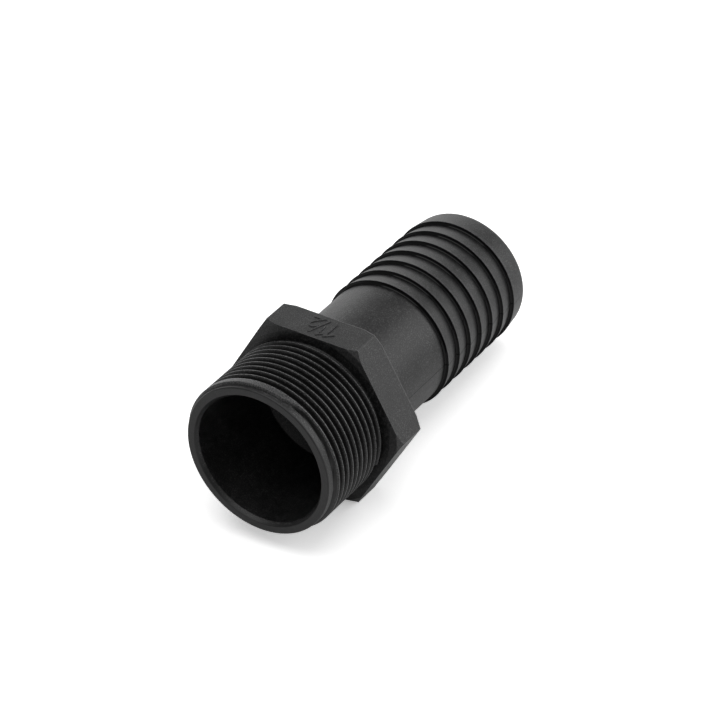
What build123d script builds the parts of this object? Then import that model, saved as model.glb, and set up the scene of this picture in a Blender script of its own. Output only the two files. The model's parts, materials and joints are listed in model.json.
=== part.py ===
"""Hose barb tail: a one-piece moulded pipe fitting.

A male pipe thread and a hexagon stand at one end, and a barbed tail for a push-on hose at the other.
The fitting is drawn along its own bore axis, X, with the thread end at X = 0 and the tail towards +X.
It is then laid down as it comes to rest, on the rear edge of the hexagon's lowest flat and on the last
barb, with its origin on the ground below the middle of its length.

All sizes are in millimetres.
"""
from build123d import *
from math import atan2, cos, degrees, pi, radians, tan
import os

# ---- threaded end -----------------------------------------------------------------------------------
thread_diameter = 47.8        # over the crests of a 1 1/2 inch pipe thread
thread_depth = 1.48           # from crest to root
lead_in_diameter = 45.9       # plain guide ahead of the first turn
lead_in_length = 1.0
thread_length = 24.4          # the stretch that carries the turns, with its slopes at both ends
relief_length = 1.3           # plain stretch at root diameter between the last turn and the hexagon
thread_slope_angle = 45.0     # slope up to the crests at each end of the thread
rim_round = 0.4               # rounded outer edge of the end face

# ---- hexagon ----------------------------------------------------------------------------------------
hex_across_flats = 51.1
hex_thickness = 10.65
hex_chamfer_drop = 0.95       # how far the chamfer has run back where it reaches a corner
hex_chamfer_angle = 30.0      # between the chamfer and the hexagon's faces

# ---- hose tail --------------------------------------------------------------------------------------
neck_diameter = 38.5
neck_length = 28.95           # from the hexagon to the foot of the first barb
barb_diameter = 40.6          # over the crests
barb_root_diameter = 38.6     # at the valleys between barbs
barb_count = 7
barb_pitch = 6.05
barb_front_run = 0.25         # how far the steep front of a barb leans along the axis
tip_length = 8.5              # from the last crest to the end of the tail
tip_diameter = 38.5           # where the last slope meets the rounded tip
tip_round = 2.4

# ---- bore -------------------------------------------------------------------------------------------
thread_bore_diameter = 39.7
thread_bore_depth = 32.6      # from the end face to the edge of the step
mouth_chamfer_width = 0.85    # how far the mouth's chamfer opens the bore, on the radius
mouth_chamfer_depth = 1.2
tail_bore_diameter = 32.0
bore_step_angle = 45.0        # slope of the step between the two bores
tail_mouth_chamfer = 0.8      # bevelled inner edge at the end of the tail


def stations():
    """Places along the axis that several features share."""
    relief_start = lead_in_length + thread_length
    hex_front = relief_start + relief_length
    hex_rear = hex_front + hex_thickness
    first_crest = hex_rear + neck_length + barb_front_run
    last_crest = first_crest + (barb_count - 1) * barb_pitch
    return relief_start, hex_front, hex_rear, first_crest, last_crest


relief_start, hex_front, hex_rear, first_crest, last_crest = stations()
tail_end = last_crest + tip_length

thread_radius = thread_diameter / 2
thread_root_radius = thread_radius - thread_depth
lead_in_radius = lead_in_diameter / 2
neck_radius = neck_diameter / 2
crest_radius = barb_diameter / 2
valley_radius = barb_root_diameter / 2
tip_radius = tip_diameter / 2
thread_bore_radius = thread_bore_diameter / 2
tail_bore_radius = tail_bore_diameter / 2


def barb_points():
    """Half section of the barbs: each has a steep front facing the hexagon and a long slope to the next."""
    points = []
    for index in range(barb_count):
        crest = first_crest + index * barb_pitch
        foot_radius = neck_radius if index == 0 else valley_radius
        points += [(crest - barb_front_run, foot_radius), (crest, crest_radius)]
    return points


def thread_blank_points():
    """Half section of the threaded end over the crests of the turns, from the end face to the hexagon."""
    slope = tan(radians(thread_slope_angle))
    return [
        (0, lead_in_radius),
        (lead_in_length, lead_in_radius),
        (lead_in_length + (thread_radius - lead_in_radius) / slope, thread_radius),
        (relief_start - thread_depth / slope, thread_radius),
        (relief_start, thread_root_radius),
        (hex_front, thread_root_radius),
    ]


def turned(points, rounds=()):
    """Solid of revolution about X from a closed half section; rounds gives (corner, radius) pairs."""
    section = make_face(Polyline(*points, close=True))
    for corner, radius in rounds:
        nearest = section.vertices().sort_by_distance(corner)[0]
        section = fillet(nearest, radius)
    return revolve(section, axis=Axis.X)


def outer_body():
    """Thread blank, neck, barbs and rounded tip, without the bore."""
    outline = [(0, 0)] + thread_blank_points() + [(hex_front, neck_radius)] + barb_points()
    outline += [(tail_end, tip_radius), (tail_end, 0)]
    return turned(outline, [((0, lead_in_radius), rim_round), ((tail_end, tip_radius), tip_round)])


def hexagon():
    """Hexagonal grip with a conical chamfer on both faces, two of its flats level."""
    corner_radius = hex_across_flats / 2 / cos(pi / 6)
    face_radius = corner_radius - hex_chamfer_drop / tan(radians(hex_chamfer_angle))
    prism = extrude(Plane.YZ.offset(hex_front) * RegularPolygon(corner_radius, 6), amount=hex_thickness)
    envelope = turned([
        (hex_front, 0),
        (hex_front, face_radius),
        (hex_front + hex_chamfer_drop, corner_radius),
        (hex_rear - hex_chamfer_drop, corner_radius),
        (hex_rear, face_radius),
        (hex_rear, 0),
    ])
    return prism & envelope


def bore():
    """The way through: a chamfered mouth, the wide bore, a conical step and the narrower tail bore."""
    step_run = (thread_bore_radius - tail_bore_radius) / tan(radians(bore_step_angle))
    return turned([
        (0, 0),
        (0, thread_bore_radius + mouth_chamfer_width),
        (mouth_chamfer_depth, thread_bore_radius),
        (thread_bore_depth, thread_bore_radius),
        (thread_bore_depth + step_run, tail_bore_radius),
        (tail_end - tail_mouth_chamfer, tail_bore_radius),
        (tail_end, tail_bore_radius + tail_mouth_chamfer),
        (tail_end, 0),
    ])


def hose_tail():
    """The whole fitting along X, thread end at X = 0."""
    return outer_body() + hexagon() - bore()


def laid_down(fitting):
    """Tip the fitting onto the hexagon's rear lower edge and the last barb, and centre it over the origin."""
    prop = hex_across_flats / 2 - crest_radius
    tilt = degrees(atan2(prop, last_crest - hex_rear))
    tipped = fitting.rotate(Axis.Y, tilt)
    box = tipped.bounding_box()
    return tipped.translate((-box.center().X, 0, -box.min.Z))


os.makedirs("parts", exist_ok=True)
export_step(laid_down(hose_tail()), "parts/hose_tail.step")
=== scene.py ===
"""Dresses the packed hose tail as one black moulded plastic fitting, lying on a pale studio floor."""

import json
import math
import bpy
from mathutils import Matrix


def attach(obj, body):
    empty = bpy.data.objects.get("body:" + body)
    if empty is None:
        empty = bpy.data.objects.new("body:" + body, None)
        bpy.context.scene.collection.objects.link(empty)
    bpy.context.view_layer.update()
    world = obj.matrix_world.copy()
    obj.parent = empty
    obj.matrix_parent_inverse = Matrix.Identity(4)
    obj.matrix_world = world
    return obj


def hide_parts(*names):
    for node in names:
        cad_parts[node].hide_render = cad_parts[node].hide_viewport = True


bl_info = {
    "name": "Hose barb tail",
    "version": (1, 0, 0),
    "blender": (4, 5, 0),
    "location": "View3D > Sidebar > Hose tail",
    "description": "Models a moulded hose tail with a pipe thread and a hexagon, and a small studio",
    "category": "Object",
}

from types import SimpleNamespace

import bmesh
import bpy
import numpy as np
from bpy.props import FloatProperty, FloatVectorProperty, IntProperty, PointerProperty
from bpy.types import Operator, Panel, PropertyGroup
from mathutils import Euler, Matrix, Vector

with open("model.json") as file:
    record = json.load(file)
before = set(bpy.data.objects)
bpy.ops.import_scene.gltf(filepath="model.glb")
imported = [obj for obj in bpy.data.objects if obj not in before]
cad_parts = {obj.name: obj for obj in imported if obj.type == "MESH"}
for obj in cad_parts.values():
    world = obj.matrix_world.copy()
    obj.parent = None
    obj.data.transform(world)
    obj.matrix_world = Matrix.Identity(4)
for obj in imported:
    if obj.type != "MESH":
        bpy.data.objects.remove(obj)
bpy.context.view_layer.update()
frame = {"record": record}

BODY = "root"
NODE = "hose_tail"
MM = 0.001
TOUCH = 1e-6  # two points nearer than this are the same point

COLUMNS = 240  # facets round the axis
THREAD_ZONE = (0.8 * MM, 26.1 * MM)  # stretch of the outside whose rings the thread shapes
THREAD_SKIN = 21.5 * MM  # the outside of the threaded end lies beyond this radius, and its bore within
RING_CUTS = (99, 1)  # cuts one after the other, so 200 rings
START = (-0.42, -0.33)  # where the first turn rises, in turns clockwise from the top
PAD_END = (0.04, 0.10)  # where its wide start narrows to an ordinary ridge
PAD_SLOPE = 1.0 * MM  # run of the slope in front of that wide start
RUN_OUT = (9.305, 9.314)  # where the last turn stops short
GUIDE_END = (-0.15 * MM, 0.25 * MM)  # slope behind the plain guide, from where the guide ends
CROWDING = 0.55  # how closely the rings gather at the crests, from 0 to 1
SHARP = math.radians(12)  # an edge of the hexagon that turns by more than this is rounded
BODY_SMOOTH = math.radians(35)  # edges that turn by less than this are shaded smooth
MARK_SMOOTH = math.radians(30)
COLLAR_SPARE = 0.1 * MM  # how far the round collar stands past the corners that are cut from it
CORNER_FILLET = 0.3 * MM  # rounding where the hexagon meets thread and neck, and at the bore's step
MOUTH_ROUND = 0.12 * MM  # rounding of both edges of the mouth's chamfer
TAIL_MOUTH_ROUND = 0.15 * MM  # rounding of the bore's edge at the tail's end
FINE_STEPS, COARSE_STEPS = 10, 4  # facets of a rounding over 2 mm, and of a smaller one

# centre lines of the figures 1 1/2, in millimetres across the top flat and along the fitting
FIGURES = (
    [(-5.45, 30.5), (-3.35, 28.75), (-3.35, 35.5)],
    [(-2.3, 29.5), (-1.05, 28.45), (-1.05, 32.7)],
    [(-0.95, 35.7), (1.75, 28.4)],
    [
        (1.1, 32.5), (1.25, 31.8), (1.7, 31.25), (2.35, 31.05), (3.05, 31.25),
        (3.5, 31.8), (3.55, 32.5), (3.15, 33.2), (0.95, 35.45), (4.0, 35.45),
    ],
)

PLASTIC_NAME = "moulded_black_plastic"
PLASTIC_IOR = 1.46
BUMP_DEPTH = 0.1 * MM  # height of the fine grain and of the patches, where white meets black

# how strongly each place is made pale, as real rubbing and as painted highlights on crests and edges, and how
# far each loses its sheen, as painted shade on the barbs' slopes and the hexagon's front face and along the
# parting line
WEAR_AND_HIGHLIGHT = SimpleNamespace(crests=0.8, first_turn=0.5, lips=0.15, corners=0.2, rear_edge=0.8, front_edge=0.3)
DULLED = SimpleNamespace(slopes=0.62, parting=0.35, hexagon_face=0.2)

FLOOR_SIZE = 6  # metres

# where each lamp stands, and how wide and high it is, in metres
LAMPS = {
    "top_lamp": ((0, 0.1, 1.5), (1.7, 1.7)),
    "side_lamp": ((0.73, -1.02, 0.60), (1.8, 1.2)),
    "back_lamp": ((1.25, 0.85, 0.38), (2.0, 0.75)),
}


# ---- where the fitting lies --------------------------------------------------------------------------


def mount(name):
    """One of the record's mounts by name."""
    return next(m for m in frame["record"]["mounts"] if m["name"] == name)


def lie():
    """The matrix that lays a fitting drawn along X, with its end face at X = 0, where the packed one lies."""
    axis = Vector(mount("tail_bore")["axis"]).normalized()
    across = Vector((0, 1, 0))
    turn = Matrix((axis, across, axis.cross(across))).transposed().to_4x4()
    face = Vector(mount("end_face")["pos_m"])
    middle = Vector(mount("thread_bore")["pos_m"])
    start = middle + axis * (face - middle).dot(axis)
    return Matrix.Translation(start) @ turn


LIE = lie()


# ---- settings ----------------------------------------------------------------------------------------


def length(name, metres, text):
    """A length setting in metres."""
    return FloatProperty(name=name, description=text, default=metres, min=0, precision=5, unit="LENGTH")


def share(name, value, text):
    """A plain number setting from 0 to 1."""
    return FloatProperty(
        name=name, description=text, default=value, min=0, max=1, precision=3, subtype="FACTOR"
    )


def watts(name, power, text):
    """A lamp's power."""
    return FloatProperty(name=name, description=text, default=power, min=0, unit="POWER")


def tint(name, rgb, text):
    """A colour setting."""
    return FloatVectorProperty(
        name=name, description=text, default=rgb, min=0, max=1, size=3, subtype="COLOR"
    )


class ThreadedEnd(PropertyGroup):
    """Sizes of the thread and its lead-in."""

    lead_in_diameter: length("Lead-in diameter", 0.0459, "Plain guide ahead of the first turn")
    lead_in_end: length("Lead-in end", 0.0024, "Where the guide drops to the root of the thread")
    diameter: length("Thread diameter", 0.0477, "Over the crests")
    depth: length("Thread depth", 0.00143, "From crest to root")
    pitch: length("Pitch", 0.002309, "From crest to crest, a 1 1/2 inch pipe thread")
    first_crest: length("First crest", 0.003609, "Where the first turn's crest crosses the top")
    crest_width: length("Crest width", 0.0002, "Width of the land on a crest")
    flank_run: length("Flank run", 0.0008, "How far a flank runs along the axis")
    start_pad_front: length("Start pad front", 0.0019, "Front edge of the wide start of the first turn")
    rim_round: length("Rim round", 0.0004, "Rounded outer edge of the end face")


class Hexagon(PropertyGroup):
    """Sizes of the hexagonal grip."""

    front: length("Front face", 0.0267, "Distance from the end face")
    thickness: length("Thickness", 0.01065, "Along the axis")
    across_flats: length("Across flats", 0.0511, "Between opposite flats")
    chamfer_drop: length("Chamfer drop", 0.00095, "How far the chamfer has run back at a corner")
    chamfer_angle: FloatProperty(
        name="Chamfer angle",
        description="Between the chamfer and the faces",
        default=math.radians(30),
        subtype="ANGLE",
    )
    edge_round: length("Edge round", 0.00012, "Rounding of the hexagon's edges")


class BarbedTail(PropertyGroup):
    """Sizes of the neck, the barbs and the tip."""

    neck_diameter: length("Neck diameter", 0.0385, "Between the hexagon and the first barb")
    neck_length: length("Neck length", 0.02895, "From the hexagon to the foot of the first barb")
    barb_diameter: length("Barb diameter", 0.0406, "Over the crests")
    valley_diameter: length("Valley diameter", 0.0386, "At the foot of each steep front")
    barb_pitch: length("Barb pitch", 0.00605, "From crest to crest")
    barb_count: IntProperty(name="Barbs", description="Number of barbs", default=7, min=1, max=20)
    front_run: length("Front run", 0.00025, "How far a steep front leans along the axis")
    foot_round: length("Foot round", 0.00042, "Hollow rounding at the foot of a steep front")
    crest_round: length("Crest round", 0.00013, "Rounding of a barb's edge")
    tip_length: length("Tip length", 0.0085, "From the last crest to the end")
    tip_diameter: length("Tip diameter", 0.0385, "Where the last slope meets the rounded tip")
    tip_round: length("Tip round", 0.0024, "Rounding of the tip's outer edge")


class Bore(PropertyGroup):
    """Sizes of the way through."""

    mouth_diameter: length("Mouth diameter", 0.0397, "Wide bore at the threaded end")
    mouth_depth: length("Mouth depth", 0.0326, "From the end face to the step")
    mouth_chamfer: length("Mouth chamfer", 0.00085, "How far the chamfer opens the bore, on the radius")
    chamfer_depth: length("Chamfer depth", 0.0012, "How far the chamfer runs in")
    tail_diameter: length("Tail bore diameter", 0.032, "Narrow bore through the tail")
    tail_chamfer: length("Tail chamfer", 0.0008, "Bevelled inner edge at the tail's end")


class Mark(PropertyGroup):
    """The raised thread size on the top flat."""

    stroke: length("Stroke", 0.00056, "Width of a figure's strokes")
    proud: length("Proud", 0.00016, "How far the figures stand above the flat")


class Plastic(PropertyGroup):
    """Finish of the black plastic."""

    dark: tint("Colour", (0.0045, 0.0045, 0.0047), "Colour of the plastic")
    pale: tint("Bloom", (0.010, 0.010, 0.0103), "Colour of the faint cloudy bloom on it")
    # pale colour that is partly real rubbing and partly a painted highlight on crests and edges
    rubbed_and_highlit: tint("Rubbed", (0.1, 0.1, 0.101), "Colour where edges and crests are rubbed")
    dust: tint("Dust", (0.065, 0.065, 0.065), "Colour of the fine pale specks")
    roughness: share("Roughness", 0.37, "Mean roughness of the surface")
    grain: share("Grain", 0.5, "Depth of the fine moulded grain")


class Studio(PropertyGroup):
    """Camera, lamps and floor."""

    focal_length: FloatProperty(
        name="Focal length",
        description="The camera's lens in millimetres",
        default=175.593,
        min=1,
        unit="CAMERA",
    )
    camera_at: FloatVectorProperty(
        name="Camera position",
        description="Where the camera stands",
        default=(-0.637876, -0.434169, 0.640814),
        subtype="TRANSLATION",
    )
    camera_turn: FloatVectorProperty(
        name="Camera rotation",
        description="How the camera is turned",
        default=tuple(math.radians(a) for a in (51.3579, 2.6572, -57.7463)),
        subtype="EULER",
    )
    sky: FloatProperty(name="Room light", description="Brightness of the pale room", default=0.29, min=0)
    top_lamp: watts("Top lamp", 15.0, "Power of the lamp overhead")
    side_lamp: watts("Side lamp", 11.2, "Power of the lamp on the right")
    back_lamp: watts("Back lamp", 5.0, "Power of the lamp behind")
    floor: share("Floor", 0.68, "Paleness of the floor")
    seen_lift: share("Floor as seen", 0.57, "Paleness added where the camera sees the floor")
    floor_glow: share("Floor glow", 0.36, "Brightness added where the camera sees the floor")
    glossy_lift: share("Floor in reflections", 0.17, "Paleness added where shiny or clear things show it")


GROUPS = {
    "fitting_thread": ThreadedEnd,
    "fitting_hexagon": Hexagon,
    "fitting_tail": BarbedTail,
    "fitting_bore": Bore,
    "fitting_mark": Mark,
    "fitting_plastic": Plastic,
    "fitting_studio": Studio,
}


# ---- modelling ---------------------------------------------------------------------------------------


def deselect():
    """Leaves edit mode and deselects every object."""
    if bpy.context.object and bpy.context.object.mode != "OBJECT":
        bpy.ops.object.mode_set(mode="OBJECT")
    bpy.ops.object.select_all(action="DESELECT")


def pick(piece, kind, wanted):
    """Selects the vertices, edges or faces of the piece in edit mode for which wanted(element) holds."""
    bpy.context.tool_settings.mesh_select_mode = (kind == "verts", kind == "edges", kind == "faces")
    bpy.ops.mesh.select_all(action="DESELECT")
    mesh = bmesh.from_edit_mesh(piece.data)
    found = 0
    for element in getattr(mesh, kind):
        if wanted(element):
            element.select_set(True)
            found += 1
    bmesh.update_edit_mesh(piece.data, loop_triangles=False, destructive=False)
    return found


def draw_chain(name, points):
    """Draws a closed flat outline, point by point, and fills it. It is left in edit mode."""
    deselect()
    bpy.ops.mesh.primitive_plane_add(size=MM, location=points[0])
    piece = bpy.context.object
    piece.name = piece.data.name = name
    bpy.ops.object.transform_apply(location=True)
    bpy.ops.object.mode_set(mode="EDIT")
    bpy.context.tool_settings.mesh_select_mode = (True, False, False)
    bpy.ops.mesh.merge(type="CENTER")
    for here, there in zip(points, points[1:]):
        bpy.ops.mesh.extrude_region_move(TRANSFORM_OT_translate={"value": Vector(there) - Vector(here)})
    ends = [Vector(point) for point in (points[0], points[-1])]
    pick(piece, "verts", lambda v: any((v.co - e).length < TOUCH for e in ends))
    bpy.ops.mesh.edge_face_add()
    return piece


def draw_section(name, corners):
    """Draws a closed half section in the XZ plane and rounds its corners.

    Each corner is (x, radius, rounding) in metres."""
    piece = draw_chain(name, [(x, 0, radius) for x, radius, _ in corners])
    for rounding in sorted({c[2] for c in corners if c[2]}):
        spots = [Vector((c[0], 0, c[1])) for c in corners if c[2] == rounding]
        if pick(piece, "verts", lambda v: any((v.co - s).length < TOUCH for s in spots)) != len(spots):
            raise RuntimeError(f"{name}: a corner of the section was not found")
        steps = FINE_STEPS if rounding > 2 * MM else COARSE_STEPS
        bpy.ops.mesh.bevel(offset=rounding, offset_type="OFFSET", segments=steps, affect="VERTICES")
    return piece


def spin_section(piece, steps):
    """Spins the section once round X, closes it and turns its faces outwards."""
    bpy.ops.mesh.select_all(action="SELECT")
    bpy.ops.mesh.spin(steps=steps, angle=math.tau, center=(0, 0, 0), axis=(1, 0, 0), use_auto_merge=True)
    bpy.ops.mesh.select_all(action="SELECT")
    bpy.ops.mesh.remove_doubles(threshold=TOUCH)
    bpy.ops.mesh.normals_make_consistent(inside=False)


def place(piece):
    """Lays a piece drawn along X where the packed one lies, and applies that to its mesh."""
    deselect()
    piece.matrix_world = LIE @ piece.matrix_world
    bpy.context.view_layer.objects.active = piece
    piece.select_set(True)
    bpy.ops.object.transform_apply(location=True, rotation=True, scale=True)


def hand_over(piece, material):
    """Gives a finished piece its material and its body."""
    piece.data.materials.clear()
    piece.data.materials.append(material)
    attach(piece, BODY)


def stations(scene):
    """Places along the axis that several features share."""
    hexagon, tail = scene.fitting_hexagon, scene.fitting_tail
    rear = hexagon.front + hexagon.thickness
    first = rear + tail.neck_length + tail.front_run
    last = first + (tail.barb_count - 1) * tail.barb_pitch
    return rear, first, last, last + tail.tip_length


def hexagon_radii(hexagon):
    """Radius of the hexagon's corners, and of the flat face inside its conical chamfer."""
    corner = hexagon.across_flats / 2 / math.cos(math.pi / 6)
    return corner, corner - hexagon.chamfer_drop / math.tan(hexagon.chamfer_angle)


def outer_corners(scene):
    """Half section of the outside from the end face to the tail, with a round collar for the hexagon."""
    thread, hexagon, tail = scene.fitting_thread, scene.fitting_hexagon, scene.fitting_tail
    rear, first, last, end = stations(scene)
    root = thread.diameter / 2 - thread.depth
    guide = thread.lead_in_diameter / 2
    corner, face = hexagon_radii(hexagon)
    collar = corner + COLLAR_SPARE
    drop = (collar - face) * math.tan(hexagon.chamfer_angle)
    corners = [
        (0, guide, thread.rim_round),
        (THREAD_ZONE[0], guide, 0),
        (THREAD_ZONE[1], root, 0),
        (hexagon.front, root, CORNER_FILLET),
        (hexagon.front, face, 0),
        (hexagon.front + drop, collar, 0),
        (rear - drop, collar, 0),
        (rear, face, 0),
        (rear, tail.neck_diameter / 2, CORNER_FILLET),
    ]
    for index in range(tail.barb_count):
        crest = first + index * tail.barb_pitch
        foot = tail.valley_diameter if index else tail.neck_diameter
        corners.append((crest - tail.front_run, foot / 2, tail.foot_round))
        corners.append((crest, tail.barb_diameter / 2, tail.crest_round))
    return corners + [(end, tail.tip_diameter / 2, tail.tip_round)]


def inner_corners(scene):
    """Half section of the way through, from the tail back to the end face."""
    bore = scene.fitting_bore
    end = stations(scene)[3]
    wide, narrow = bore.mouth_diameter / 2, bore.tail_diameter / 2
    return [
        (end, narrow + bore.tail_chamfer, TAIL_MOUTH_ROUND),
        (end - bore.tail_chamfer, narrow, 0),
        (bore.mouth_depth + wide - narrow, narrow, CORNER_FILLET),
        (bore.mouth_depth, wide, CORNER_FILLET),
        (bore.chamfer_depth, wide, MOUTH_ROUND),
        (0, wide + bore.mouth_chamfer, MOUTH_ROUND),
    ]


def divide_thread_zone(piece):
    """Divides the section's line along the thread into the rings that the turns need."""

    def inside(place):
        return place.z > THREAD_SKIN and THREAD_ZONE[0] - TOUCH < place.x < THREAD_ZONE[1] + TOUCH

    for cuts in RING_CUTS:
        pick(piece, "edges", lambda e: all(inside(v.co) for v in e.verts))
        bpy.ops.mesh.subdivide(number_cuts=cuts)


def mill_flats(piece, hexagon):
    """Cuts the six flats from the collar and rounds the edges that they leave."""
    apothem = hexagon.across_flats / 2
    rear = hexagon.front + hexagon.thickness

    def in_collar(element, inner):
        """Whether the element lies along the hexagon, with its outer part past this radius."""
        places = [v.co for v in element.verts]
        outer = [math.hypot(p.y, p.z) > inner for p in places]
        return all(hexagon.front - TOUCH < p.x < rear + TOUCH for p in places) and (
            any(outer) if len(places) > 2 else all(outer)
        )

    for side in range(6):
        way = Vector((0, math.sin(side * math.pi / 3), math.cos(side * math.pi / 3)))
        pick(piece, "faces", lambda f: in_collar(f, apothem))
        bpy.ops.mesh.bisect(plane_co=way * apothem, plane_no=way, use_fill=True, clear_outer=True)

    def is_sharp(edge):
        return (
            len(edge.link_faces) == 2
            and in_collar(edge, apothem - TOUCH * 10)
            and edge.calc_face_angle(0) > SHARP
        )

    pick(piece, "edges", is_sharp)
    bpy.ops.mesh.bevel(offset=hexagon.edge_round, offset_type="OFFSET", segments=2, affect="EDGES")


def eased(value, low, high, ease=0.2):
    """Rises from 0 at low to 1 at high. Ease is the share of the ramp that is rounded at each end."""
    t = np.clip((value - low) / (high - low), 0, 1)
    if ease >= 0.5:
        return t * t * (3 - 2 * t)
    rising = np.where(t < ease, t * t / (2 * ease), t - ease / 2)
    rising = np.where(t > 1 - ease, 1 - ease - (1 - t) ** 2 / (2 * ease), rising)
    return rising / (1 - ease)


def thread_radius(thread, x, turn):
    """Radius of the threaded end at x, and at turn, which is counted clockwise from the top, -0.5 to 0.5."""
    root = thread.diameter / 2 - thread.depth
    guide = thread.lead_in_diameter / 2
    half = thread.crest_width / 2

    # the nearest turn, counted from the first one, and its ridge between the two ends of the thread
    count = np.round((x - thread.first_crest) / thread.pitch - turn) + turn
    centre = thread.first_crest + thread.pitch * count
    height = 1 - eased(np.abs(x - centre), half, half + thread.flank_run)
    height = height * eased(count, *START, ease=0.5) * (1 - eased(count, *RUN_OUT, ease=0.3))
    turns = root + thread.depth * height

    # the plain guide in front
    slope_start, slope_end = (thread.lead_in_end + run for run in GUIDE_END)
    ring = guide - (guide - root) * eased(x, slope_start, slope_end)

    # the first turn's wide start, which reaches forward from its crest
    first = thread.first_crest + thread.pitch * turn
    narrowing = eased(turn, *PAD_END, ease=0.5)
    front = thread.start_pad_front + (first - half - thread.start_pad_front) * narrowing
    reach = PAD_SLOPE + (thread.flank_run - PAD_SLOPE) * narrowing
    pad = root + thread.depth * eased(x, front - reach, front) * eased(turn, *START, ease=0.5)
    pad = np.where((narrowing < 1) & (x < first + half), pad, 0)
    return np.maximum(np.maximum(turns, ring), pad)


def cut_thread(piece, thread):
    """Gathers the rings of the threaded end at the crests and moves them to the radius of the turns."""
    mesh = piece.data
    points = np.empty(len(mesh.vertices) * 3, np.float32)
    mesh.vertices.foreach_get("co", points)
    points = points.reshape(-1, 3).astype(float)
    x, y, z = points.T
    radius = np.hypot(y, z)
    start, end = THREAD_ZONE
    here = (x > start + TOUCH) & (x < end - TOUCH) & (radius > THREAD_SKIN)
    turn = np.arctan2(-y[here], z[here]) / math.tau
    phase = (x[here] - thread.first_crest) / thread.pitch - turn
    shift = CROWDING * thread.pitch * np.sin(math.tau * phase) / math.tau
    from_ends = np.minimum(x[here] - start, end - x[here])
    points[here, 0] -= shift * np.clip(from_ends / MM, 0, 1)
    wanted = thread_radius(thread, points[here, 0], turn)
    points[here, 1:] *= (wanted / radius[here])[:, None]
    mesh.vertices.foreach_set("co", points.astype(np.float32).ravel())
    mesh.update()


# ---- materials ---------------------------------------------------------------------------------------


class Value:
    """A shader socket that takes part in ordinary arithmetic by adding Math nodes."""

    def __init__(self, shader, socket):
        self.shader, self.socket = shader, socket

    def __add__(self, other):
        return self.shader.maths("ADD", self, other)

    __radd__ = __add__

    def __sub__(self, other):
        return self.shader.maths("SUBTRACT", self, other)

    def __rsub__(self, other):
        return self.shader.maths("SUBTRACT", other, self)

    def __mul__(self, other):
        return self.shader.maths("MULTIPLY", self, other)

    def __truediv__(self, other):
        return self.shader.maths("DIVIDE", self, other)

    def __pow__(self, other):
        return self.shader.maths("POWER", self, other)

    def __neg__(self):
        return self.shader.maths("MULTIPLY", self, -1)

    def __abs__(self):
        return self.shader.maths("ABSOLUTE", self)


class Shader:
    """Nodes of one material or world."""

    def __init__(self, owner):
        owner.use_nodes = True
        self.tree = owner.node_tree
        self.tree.nodes.clear()

    def node(self, kind, settings=None, sockets=None):
        """A node of this kind with its settings, and the values or links of its sockets."""
        made = self.tree.nodes.new(kind)
        for name, value in (settings or {}).items():
            setattr(made, name, value)
        for name, value in (sockets or {}).items():
            value = value.socket if isinstance(value, Value) else value
            if isinstance(value, bpy.types.NodeSocket):
                self.tree.links.new(value, made.inputs[name])
            else:
                made.inputs[name].default_value = value
        return made

    def value(self, kind, settings=None, sockets=None, output=0):
        """One output of a new node, ready for arithmetic."""
        return Value(self, self.node(kind, settings, sockets).outputs[output])

    def maths(self, operation, *values):
        """The result of a Math node."""
        return self.value("ShaderNodeMath", {"operation": operation}, dict(enumerate(values)))

    def rise(self, value, low, high):
        """0 below low and 1 above high, with a smooth change between."""
        return self.value(
            "ShaderNodeMapRange",
            {"interpolation_type": "SMOOTHSTEP"},
            {"Value": value, "From Min": low, "From Max": high},
        )

    def fall(self, value, low, high):
        """1 below low and 0 above high, with a smooth change between."""
        return 1 - self.rise(value, low, high)

    def noise(self, vector, scale, detail, roughness):
        """Soft noise from 0 to 1."""
        sockets = {"Vector": vector, "Scale": scale, "Detail": detail, "Roughness": roughness}
        return self.value("ShaderNodeTexNoise", {}, sockets)

    def mix(self, factor, first, second):
        """A colour between two: the Mix node's colour sockets are its inputs 6 and 7 and its output 2."""
        node = self.node("ShaderNodeMix", {"data_type": "RGBA"}, {"Factor": factor, 6: first, 7: second})
        return node.outputs[2]


def rgba(colour, share_of_it=1.0):
    """The colour, or a darker share of it, as a colour socket takes it."""
    return (*(c * share_of_it for c in colour), 1.0)


def along_fitting(shader):
    """Millimetres along the fitting's own axis, across it, up from it, and out from it."""
    back = LIE.inverted()
    mapped = shader.value(
        "ShaderNodeMapping",
        {"vector_type": "POINT"},
        {
            "Vector": shader.value("ShaderNodeTexCoord", output="Object"),
            "Location": back.translation / MM,
            "Rotation": back.to_euler(),
            "Scale": (1 / MM,) * 3,
        },
    )
    parts = shader.node("ShaderNodeSeparateXYZ", {}, {"Vector": mapped})
    x, y, z = (Value(shader, parts.outputs[i]) for i in range(3))
    return mapped, x, y, z, (y * y + z * z) ** 0.5


def sizes_in_mm(scene):
    """The sizes that the plastic's marks follow: radii, places along the axis and pitches."""
    thread, hexagon, tail = scene.fitting_thread, scene.fitting_hexagon, scene.fitting_tail
    hexagon_rear, first_barb, last_barb, _ = stations(scene)
    corner, face = hexagon_radii(hexagon)
    metres = {
        "crest": thread.diameter / 2,
        "root": thread.diameter / 2 - thread.depth,
        "skin": THREAD_SKIN,
        "guide_end": thread.lead_in_end,
        "first_crest": thread.first_crest,
        "pitch": thread.pitch,
        "hexagon_front": hexagon.front,
        "hexagon_rear": hexagon_rear,
        "flat": hexagon.across_flats / 2,
        "corner": corner,
        "face": face,
        "neck": tail.neck_diameter / 2,
        "barb": tail.barb_diameter / 2,
        "first_barb": first_barb,
        "last_barb": last_barb,
        "barb_pitch": tail.barb_pitch,
    }
    return SimpleNamespace(**{name: value / MM for name, value in metres.items()})


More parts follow.
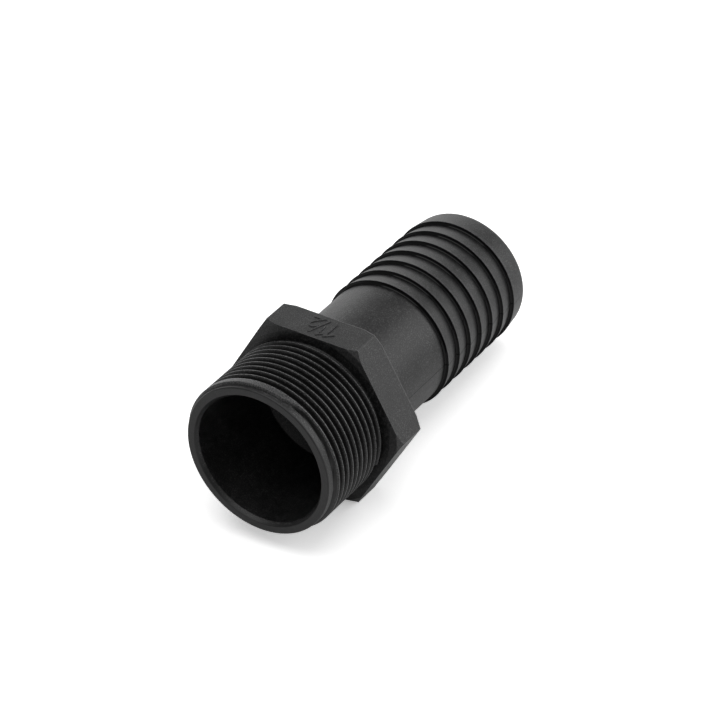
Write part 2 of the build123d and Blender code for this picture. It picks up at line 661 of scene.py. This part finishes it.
def black_plastic(plastic, at, chamfer_angle):
    """Matte moulded black plastic: cloudy bloom, dust, fine grain, a parting line, crests and edges made pale
    partly by real rubbing and partly as painted highlights, and painted shade in the thread's grooves, at the
    barbs' feet, on the slopes down to them and on the hexagon's front face.
    """
    material = bpy.data.materials.new(PLASTIC_NAME)
    shader = Shader(material)
    rise, fall = shader.rise, shader.fall
    point, x, y, z, radius = along_fitting(shader)

    cloud = shader.noise(point, scale=0.11, detail=5.0, roughness=0.62)
    patch = shader.noise(point, scale=0.6, detail=3.0, roughness=0.6)
    grain = shader.noise(point, scale=2.9, detail=2.0, roughness=0.6)
    bloom = rise(cloud * 0.6 + patch * 0.4, 0.40, 0.64)
    dust = rise(grain, 0.50, 0.64) * (bloom * 0.5 + 0.5) * rise(x, 0.3, 0.8)

    # the thread's crests, grooves and wide first turn
    on_turns = rise(x, at.guide_end - 0.2, at.guide_end + 0.1)
    on_turns = on_turns * fall(x, at.hexagon_front - 0.7, at.hexagon_front - 0.4)
    turn = shader.maths("ARCTAN2", -y, z) / math.tau
    phase = (x - at.first_crest) / at.pitch - turn + 0.5
    from_crest = abs(shader.maths("FLOORED_MODULO", phase, 1) - 0.5)
    on_crests = on_turns * fall(from_crest, 0.03, 0.10) * rise(radius, at.crest - 0.45, at.crest - 0.25)
    in_grooves = fall(radius, at.crest - 0.95, at.crest - 0.25) * rise(radius, at.skin, at.skin + 0.1)
    in_grooves = on_turns * in_grooves
    on_first_turn = fall(x, at.first_crest + 0.19, at.first_crest + 0.49)
    on_first_turn = on_first_turn * rise(radius, at.crest - 0.65, at.crest - 0.35)

    # the barbs' lips and the feet of their steep fronts, with the slope down to each foot, where painted
    # shade deepens towards the foot
    along = shader.maths("FLOORED_MODULO", x - at.first_barb, at.barb_pitch)
    on_barbs = rise(x, at.first_barb - 2, at.first_barb - 1) * fall(x, at.last_barb + 0.1, at.last_barb + 0.2)
    on_barbs = on_barbs * rise(radius, at.neck - 0.65, at.neck - 0.45)
    at_lip = rise(radius, at.barb - 0.18, at.barb - 0.02)
    in_feet = on_barbs * rise(along, at.barb_pitch - 0.9, at.barb_pitch - 0.5)
    in_feet = in_feet * fall(radius, at.barb - 0.2, at.barb - 0.05)
    to_feet = on_barbs * rise(along, at.barb_pitch - 3.6, at.barb_pitch - 0.5) * (1 - at_lip)
    on_lips = rise(x, at.first_barb - 6.5, at.first_barb - 5.5) * at_lip

    # the hexagon's edges, of which the long ones follow the chamfer, with painted highlights along the rear
    # and front edges of the flats, and its front face
    on_flats = rise(radius, at.flat - 0.15, at.flat - 0.05)
    cut_back = shader.maths("MAXIMUM", radius - at.face, 0) * math.tan(chamfer_angle)
    rear_edge_highlight = on_flats * rise(x + cut_back, at.hexagon_rear - 0.4, at.hexagon_rear - 0.15)
    front_edge_highlight = on_flats * fall(x - cut_back, at.hexagon_front + 0.1, at.hexagon_front + 0.25)
    on_corners = rise(radius, at.corner - 0.12, at.corner - 0.04)
    # painted shade: the hexagon's front face beside the thread is dulled darker
    on_face = fall(x, at.hexagon_front + 0.02, at.hexagon_front + 0.1)
    on_face = on_face * rise(x, at.hexagon_front - 0.2, at.hexagon_front - 0.05)
    on_face = on_face * rise(radius, at.root + 0.18, at.crest - 0.65)

    # the mould's parting line on both sides of the tail
    on_tail = rise(radius, at.neck - 0.25, at.neck - 0.15) * fall(radius, at.barb + 1.7, at.barb + 1.9)
    on_tail = on_tail * rise(x, at.hexagon_rear - 0.05, at.hexagon_rear + 0.15)
    parting = fall(abs(z), 0.06, 0.2) * on_tail

    # the thread's crests and first turn are pale partly from real rubbing and partly as a painted highlight;
    # the barbs' lips and the hexagon's corners are rubbed; the rear and front edges of the flats carry
    # painted highlights
    worn_and_highlit = on_crests * WEAR_AND_HIGHLIGHT.crests + on_first_turn * WEAR_AND_HIGHLIGHT.first_turn
    edges = on_lips * WEAR_AND_HIGHLIGHT.lips + on_corners * WEAR_AND_HIGHLIGHT.corners
    edges = edges + rear_edge_highlight * WEAR_AND_HIGHLIGHT.rear_edge + front_edge_highlight * WEAR_AND_HIGHLIGHT.front_edge
    rubbed_and_highlit = worn_and_highlit * rise(grain, 0.35, 0.6) + edges * rise(grain, 0.2, 0.55)
    recess_shade = in_grooves + in_feet

    colour = shader.mix(bloom, rgba(plastic.dark), rgba(plastic.pale))
    colour = shader.mix(dust * 0.8, colour, rgba(plastic.dust))
    # painted shade: the thread's grooves and the feet of the barbs' steep fronts take a darker colour
    colour = shader.mix(recess_shade, colour, rgba(plastic.dark, 0.25))
    # painted highlight together with real rubbing on crests and edges
    colour = shader.mix(rubbed_and_highlit, colour, rgba(plastic.rubbed_and_highlit))
    colour = shader.mix(parting * 0.7, colour, rgba(plastic.dark, 0.3))
    roughness = (patch - 0.5) * 0.12 + (cloud - 0.5) * 0.12 + plastic.roughness
    roughness = roughness - in_feet * 0.27 - on_crests * 0.1

    fine = shader.node(
        "ShaderNodeBump",
        {},
        {"Strength": plastic.grain, "Distance": BUMP_DEPTH, "Height": grain * (1 - recess_shade)},
    )
    soft = shader.node(
        "ShaderNodeBump",
        {},
        {
            "Strength": 0.5,
            "Distance": BUMP_DEPTH,
            "Height": (patch - parting) * (1 - recess_shade),
            "Normal": fine.outputs[0],
        },
    )
    glossy = shader.node(
        "ShaderNodeBsdfPrincipled",
        {},
        {"Base Color": colour, "Roughness": roughness, "Normal": soft.outputs[0], "IOR": PLASTIC_IOR},
    )
    dull = shader.node("ShaderNodeBsdfDiffuse", {}, {"Color": rgba(plastic.dark)})
    # painted shade: a plain dark diffuse is mixed in, deepening down each barb's slope to its foot and over
    # the hexagon's front face; the parting line is dulled with it
    dulled = to_feet * DULLED.slopes + parting * DULLED.parting + on_face * DULLED.hexagon_face
    surface = shader.node("ShaderNodeMixShader", {}, {0: dulled, 1: glossy.outputs[0], 2: dull.outputs[0]})
    shader.node("ShaderNodeOutputMaterial", {}, {"Surface": surface.outputs[0]})
    return material


def plastic_material(scene):
    """The one black plastic, made when it is first asked for."""
    return bpy.data.materials.get(PLASTIC_NAME) or black_plastic(
        scene.fitting_plastic, sizes_in_mm(scene), scene.fitting_hexagon.chamfer_angle
    )


# ---- operators ---------------------------------------------------------------------------------------


class FITTING_OT_body(Operator):
    """Turns the fitting from its section, mills the hexagon's flats and cuts the thread"""

    bl_idname = "fitting.body"
    bl_label = "Make the fitting"
    bl_options = {"REGISTER", "UNDO"}

    def execute(self, context):
        scene = context.scene
        piece = draw_section("hose_tail_body", outer_corners(scene) + inner_corners(scene))
        divide_thread_zone(piece)
        spin_section(piece, COLUMNS)
        mill_flats(piece, scene.fitting_hexagon)
        bpy.ops.object.mode_set(mode="OBJECT")
        cut_thread(piece, scene.fitting_thread)
        bpy.ops.object.shade_smooth_by_angle(angle=BODY_SMOOTH)
        bpy.ops.object.modifier_add(type="WEIGHTED_NORMAL")
        piece.modifiers[-1].keep_sharp = True
        bpy.ops.object.modifier_apply(modifier=piece.modifiers[-1].name)
        place(piece)
        hand_over(piece, plastic_material(scene))
        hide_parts(NODE)
        return {"FINISHED"}


def outlined(line, width):
    """Both edges of a stroke along a bent line, as one closed outline."""
    line = [Vector(point) for point in line]
    ways = [(there - here).normalized() for here, there in zip(line, line[1:])]
    edge = []
    for point, before, after in zip(line, [ways[0]] + ways, ways + [ways[-1]]):
        mitre = (before + after) / (1 + before.dot(after))
        edge.append(Vector((-mitre.y, mitre.x)) * width / 2)
    return [p + e for p, e in zip(line, edge)] + [p - e for p, e in zip(reversed(line), reversed(edge))]


class FITTING_OT_mark(Operator):
    """Raises the plain thread size on the hexagon's top flat"""

    bl_idname = "fitting.mark"
    bl_label = "Raise the size mark"
    bl_options = {"REGISTER", "UNDO"}

    def execute(self, context):
        scene = context.scene
        mark = scene.fitting_mark
        flat = scene.fitting_hexagon.across_flats / 2
        figures = []
        for line in FIGURES:
            # each figure starts as far below the flat as it ends above it
            outline = [(p.y * MM, p.x * MM, flat - mark.proud) for p in outlined(line, mark.stroke / MM)]
            figures.append(draw_chain("size_mark", outline))
            bpy.ops.mesh.select_all(action="SELECT")
            bpy.ops.mesh.extrude_region_move(TRANSFORM_OT_translate={"value": (0, 0, 2 * mark.proud)})
            bpy.ops.mesh.select_all(action="SELECT")
            bpy.ops.mesh.fill_holes(sides=0)
            bpy.ops.mesh.select_all(action="SELECT")
            bpy.ops.mesh.normals_make_consistent(inside=False)
            bpy.ops.object.mode_set(mode="OBJECT")
        deselect()
        for figure in figures:
            figure.select_set(True)
        bpy.context.view_layer.objects.active = piece = figures[0]
        bpy.ops.object.join()
        place(piece)
        bpy.ops.object.shade_smooth_by_angle(angle=MARK_SMOOTH)
        hand_over(piece, plastic_material(scene))
        return {"FINISHED"}


class FITTING_OT_stage(Operator):
    """Sets the floor, the room's light, the lamps and the camera"""

    bl_idname = "fitting.stage"
    bl_label = "Set the studio"
    bl_options = {"REGISTER", "UNDO"}

    def execute(self, context):
        scene = context.scene
        studio = scene.fitting_studio
        set_floor(studio)
        set_room(scene, studio)
        for name, (stands_at, size) in LAMPS.items():
            set_lamp(name, getattr(studio, name), stands_at, size)
        set_camera(scene, studio)
        return {"FINISHED"}


def set_floor(studio):
    """A plain pale floor that keeps the fitting's shadow."""
    deselect()
    bpy.ops.mesh.primitive_plane_add(size=FLOOR_SIZE, location=(0, 0, 0))
    floor = bpy.context.object
    floor.name = floor.data.name = "floor"
    material = bpy.data.materials.new("pale_floor")
    shader = Shader(material)
    path = shader.node("ShaderNodeLightPath")
    kinds = ("Camera", "Glossy", "Transmission")
    camera, glossy, clear = (Value(shader, path.outputs[f"Is {kind} Ray"]) for kind in kinds)
    pale = studio.floor + camera * studio.seen_lift + (glossy + clear) * studio.glossy_lift
    grey = shader.node("ShaderNodeCombineColor", {}, {0: pale, 1: pale, 2: pale})
    matte = shader.node("ShaderNodeBsdfDiffuse", {}, {"Color": grey.outputs[0]})
    glow = shader.node("ShaderNodeEmission", {}, {"Strength": camera * studio.floor_glow})
    both = shader.node("ShaderNodeAddShader", {}, {0: matte.outputs[0], 1: glow.outputs[0]})
    shader.node("ShaderNodeOutputMaterial", {}, {"Surface": both.outputs[0]})
    floor.data.materials.append(material)


def set_room(scene, studio):
    """A plain pale room all round."""
    world = bpy.data.worlds.new("pale_room")
    scene.world = world
    shader = Shader(world)
    room = shader.node("ShaderNodeBackground", {}, {"Color": (1, 1, 1, 1), "Strength": studio.sky})
    shader.node("ShaderNodeOutputWorld", {}, {"Surface": room.outputs[0]})


def set_lamp(name, power, stands_at, size):
    """One broad lamp, turned to the fitting."""
    deselect()
    bpy.ops.object.light_add(type="AREA", location=stands_at)
    lamp = bpy.context.object
    lamp.name = lamp.data.name = name
    lamp.data.shape = "RECTANGLE"
    lamp.data.size, lamp.data.size_y = size
    lamp.data.energy = power
    lamp.rotation_euler = (-Vector(stands_at)).to_track_quat("-Z", "Y").to_euler()


def set_camera(scene, studio):
    """The camera, looking down at the threaded end."""
    deselect()
    bpy.ops.object.camera_add(location=studio.camera_at, rotation=Euler(studio.camera_turn))
    camera = bpy.context.object
    camera.name = camera.data.name = "camera"
    camera.data.lens = studio.focal_length
    camera.data.sensor_width = 36
    camera.data.clip_start, camera.data.clip_end = 0.01, 20
    scene.camera = camera
    scene.view_settings.view_transform = "Standard"


class FITTING_PT_sidebar(Panel):
    """Lists the steps that make the fitting, with their settings"""

    bl_idname = "FITTING_PT_sidebar"
    bl_label = "Hose barb tail"
    bl_space_type = "VIEW_3D"
    bl_region_type = "UI"
    bl_category = "Hose tail"

    def draw(self, context):
        layout = self.layout
        for operator in STEPS:
            layout.operator(operator.bl_idname)
        for name, group in GROUPS.items():
            box = layout.box()
            box.label(text=group.__doc__.rstrip("."))
            for key in group.__annotations__:
                box.prop(getattr(context.scene, name), key)


STEPS = (FITTING_OT_body, FITTING_OT_mark, FITTING_OT_stage)
CLASSES = (*GROUPS.values(), *STEPS, FITTING_PT_sidebar)


def register():
    """Makes the settings, the steps and the panel known to Blender."""
    for cls in CLASSES:
        bpy.utils.register_class(cls)
    for name, group in GROUPS.items():
        setattr(bpy.types.Scene, name, PointerProperty(type=group))


def unregister():
    """Takes them away again."""
    for name in GROUPS:
        delattr(bpy.types.Scene, name)
    for cls in reversed(CLASSES):
        bpy.utils.unregister_class(cls)


def main():
    """Makes the fitting and its studio."""
    register()
    bpy.ops.fitting.body()
    bpy.ops.fitting.mark()
    bpy.ops.fitting.stage()


if __name__ == "__main__":
    main()
